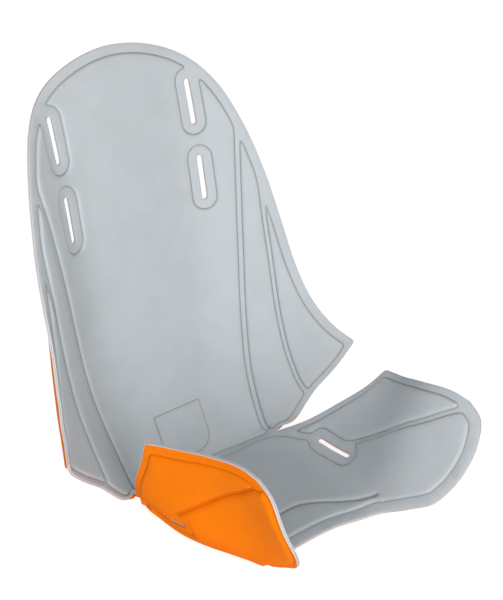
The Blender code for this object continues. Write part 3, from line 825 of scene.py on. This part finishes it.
class FoamInsertStudio(bpy.types.PropertyGroup):
    azimuth: FloatProperty(
        name="Azimuth", description="Turn of the camera around the insert, from the front",
        default=math.radians(-38.20), subtype="ANGLE", unit="ROTATION")
    elevation: FloatProperty(
        name="Elevation", description="Height angle of the camera",
        default=math.radians(25.33), subtype="ANGLE", unit="ROTATION")
    roll: FloatProperty(
        name="Roll", description="Roll of the camera about its line of sight",
        default=math.radians(-3.18), subtype="ANGLE", unit="ROTATION")
    target: FloatVectorProperty(
        name="Target", description="Point that the camera looks at", subtype="TRANSLATION", size=3,
        default=(0.08791, 0.075, 0.17755), unit="LENGTH")
    distance: FloatProperty(
        name="Distance", description="Distance from the camera to its target",
        default=1.54747, min=0.5, max=5.0, unit="LENGTH")
    lens: FloatProperty(
        name="Lens", description="Focal length in millimetres, on a sensor 24 mm high",
        default=57.31, min=20.0, max=200.0)
    side_power: FloatProperty(
        name="Side Light", description="Power in watts of the soft light on the left", default=26.0)
    front_power: FloatProperty(
        name="Front Light", description="Power in watts of the soft light in front", default=20.0)
    top_power: FloatProperty(
        name="Top Light", description="Power in watts of the weak light above", default=6.0)
    sky: FloatProperty(name="Sky", description="Level of the light from all around", default=0.32)
    floor: FloatVectorProperty(
        name="Floor", description="Colour of the floor", subtype="COLOR", size=3,
        min=0.0, max=1.0, default=(0.86, 0.86, 0.86))


class FOAMINSERT_OT_grey_face(bpy.types.Operator):
    """Build the grey sheet on the child's side"""

    bl_idname = "foam_insert.grey_face"
    bl_label = "Grey Face"

    def execute(self, context):
        finish = context.scene.foam_insert_finish
        skin = foam_material("grey_foam_skin", finish.grey, finish, GREY_GLOSS)
        shape = context.scene.foam_insert_shape
        press = Press(shape.grey_rise, shape.grey_shoulder, 1.0, 1.0, GREY_SEAT_BORDERS, True)
        sheet = build_sheet("grey_foam_face", 1.0, press, skin, cut_foam_material(finish.cut_edge))
        settle(sheet, "grey_face_foam")
        return {"FINISHED"}


class FOAMINSERT_OT_orange_back(bpy.types.Operator):
    """Build the orange sheet on the shell's side"""

    bl_idname = "foam_insert.orange_back"
    bl_label = "Orange Back"

    def execute(self, context):
        finish = context.scene.foam_insert_finish
        skin = foam_material("orange_foam_skin", finish.orange, finish, ORANGE_GLOSS)
        shape = context.scene.foam_insert_shape
        shares = (ORANGE_GROOVE_SHARE, ORANGE_PINCH_AND_SHADE_SHARE)
        press = Press(shape.orange_rise, shape.orange_shoulder, *shares, ORANGE_SEAT_BORDERS, False)
        sheet = build_sheet("orange_foam_back", -1.0, press, skin, cut_foam_material(finish.cut_edge))
        settle(sheet, "orange_back_foam")
        return {"FINISHED"}


def settle(sheet, solid):
    """Let a sheet stand for its solid, as a foam piece of the insert."""
    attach(sheet, "root")
    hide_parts(solid)


def towards(azimuth, elevation):
    """Direction at an azimuth from the front and an elevation, both in radians."""
    level = math.cos(elevation)
    return Vector((math.sin(azimuth) * level, -math.cos(azimuth) * level, math.sin(elevation)))


def add_light(name, azimuth, elevation, power):
    """A large soft disk of light that faces the insert from the given angles in degrees."""
    lamp = bpy.data.lights.new(name, "AREA")
    lamp.shape = "DISK"
    lamp.size = LIGHT_SIZE
    lamp.energy = power
    holder = bpy.data.objects.new(name, lamp)
    way = towards(math.radians(azimuth), math.radians(elevation))
    holder.location = Vector(LIT_POINT) + way * LIGHT_DISTANCE
    holder.rotation_euler = (-way).to_track_quat("-Z", "Y").to_euler()
    bpy.context.scene.collection.objects.link(holder)


class FOAMINSERT_OT_stage(bpy.types.Operator):
    """Add the pale floor, the soft lights and the camera"""

    bl_idname = "foam_insert.stage"
    bl_label = "Stage"

    def execute(self, context):
        studio = context.scene.foam_insert_studio
        self.add_floor(studio)
        self.add_world(studio)
        add_light("side_light", *SIDE_LIGHT, studio.side_power)
        add_light("front_light", *FRONT_LIGHT, studio.front_power)
        add_light("top_light", *TOP_LIGHT, studio.top_power)
        self.add_camera(context, studio)
        context.scene.view_settings.view_transform = "Standard"
        return {"FINISHED"}

    def add_floor(self, studio):
        bpy.ops.object.select_all(action="DESELECT")
        bpy.ops.mesh.primitive_plane_add(size=14.0, location=(0.0, 0.0, -0.0005))
        floor = bpy.context.active_object
        floor.name = "studio_floor"
        material = bpy.data.materials.new("floor_paper")
        material.use_nodes = True
        tree = material.node_tree
        paper = tree.nodes["Principled BSDF"]
        paper.inputs["Base Color"].default_value = (*studio.floor, 1.0)
        paper.inputs["Roughness"].default_value = 0.9
        paper.inputs["Specular IOR Level"].default_value = 0.0
        rays = node(tree, "ShaderNodeLightPath", (-600, 300))
        glow = node(tree, "ShaderNodeEmission", (-200, 300), Strength=FLOOR_GLOW)
        lit = node(tree, "ShaderNodeAddShader", (50, 200))
        seen = node(tree, "ShaderNodeMixShader", (250, 100))
        output = tree.nodes["Material Output"]
        tree.links.new(glow.outputs["Emission"], lit.inputs[0])
        tree.links.new(paper.outputs["BSDF"], lit.inputs[1])
        tree.links.new(rays.outputs["Is Camera Ray"], seen.inputs["Fac"])
        tree.links.new(paper.outputs["BSDF"], seen.inputs[1])
        tree.links.new(lit.outputs["Shader"], seen.inputs[2])
        tree.links.new(seen.outputs["Shader"], output.inputs["Surface"])
        floor.data.materials.append(material)

    def add_world(self, studio):
        world = bpy.data.worlds.new("studio_sky")
        world.use_nodes = True
        bpy.context.scene.world = world
        tree = world.node_tree
        sky = tree.nodes["Background"]
        sky.inputs["Color"].default_value = (1.0, 1.0, 1.0, 1.0)
        sky.inputs["Strength"].default_value = studio.sky
        backdrop = node(tree, "ShaderNodeBackground", (0, -200), Strength=1.0)
        backdrop.inputs["Color"].default_value = (1.0, 1.0, 1.0, 1.0)
        rays = node(tree, "ShaderNodeLightPath", (-300, 300))
        seen = node(tree, "ShaderNodeMixShader", (250, 100))
        tree.links.new(rays.outputs["Is Camera Ray"], seen.inputs["Fac"])
        tree.links.new(sky.outputs["Background"], seen.inputs[1])
        tree.links.new(backdrop.outputs["Background"], seen.inputs[2])
        tree.links.new(seen.outputs["Shader"], tree.nodes["World Output"].inputs["Surface"])

    def add_camera(self, context, studio):
        back = towards(studio.azimuth, studio.elevation)
        across = (-back).cross(Vector((0.0, 0.0, 1.0))).normalized()
        up = across.cross(-back)
        right = across * math.cos(studio.roll) + up * math.sin(studio.roll)
        top = up * math.cos(studio.roll) - across * math.sin(studio.roll)
        lens = bpy.data.cameras.new("photo_camera")
        lens.sensor_fit = "VERTICAL"
        lens.sensor_height = 24.0
        lens.lens = studio.lens
        camera = bpy.data.objects.new("photo_camera", lens)
        turn = Matrix((right, top, back)).transposed().to_4x4()
        camera.matrix_world = Matrix.Translation(Vector(studio.target) + back * studio.distance) @ turn
        context.scene.collection.objects.link(camera)
        context.scene.camera = camera


class FOAMINSERT_PT_panel(bpy.types.Panel):
    bl_label = "Foam Insert"
    bl_idname = "FOAMINSERT_PT_panel"
    bl_space_type = "VIEW_3D"
    bl_region_type = "UI"
    bl_category = "Foam Insert"

    def draw(self, context):
        layout = self.layout
        for group in ("foam_insert_shape", "foam_insert_finish", "foam_insert_studio"):
            settings = getattr(context.scene, group)
            box = layout.box()
            for key in settings.bl_rna.properties.keys():
                if key not in ("rna_type", "name"):
                    box.prop(settings, key)
        for step in STEPS:
            layout.operator(step.bl_idname)


STEPS = (FOAMINSERT_OT_grey_face, FOAMINSERT_OT_orange_back, FOAMINSERT_OT_stage)
GROUPS = {
    "foam_insert_shape": FoamInsertShape,
    "foam_insert_finish": FoamInsertFinish,
    "foam_insert_studio": FoamInsertStudio,
}


def register():
    for group in GROUPS.values():
        bpy.utils.register_class(group)
    for step in STEPS:
        bpy.utils.register_class(step)
    bpy.utils.register_class(FOAMINSERT_PT_panel)
    for name, group in GROUPS.items():
        setattr(bpy.types.Scene, name, PointerProperty(type=group))


def unregister():
    for name in GROUPS:
        delattr(bpy.types.Scene, name)
    bpy.utils.unregister_class(FOAMINSERT_PT_panel)
    for kind in (*STEPS, *GROUPS.values()):
        bpy.utils.unregister_class(kind)


def main():
    register()
    bpy.ops.foam_insert.grey_face()
    bpy.ops.foam_insert.orange_back()
    bpy.ops.foam_insert.stage()


if __name__ == "__main__":
    main()
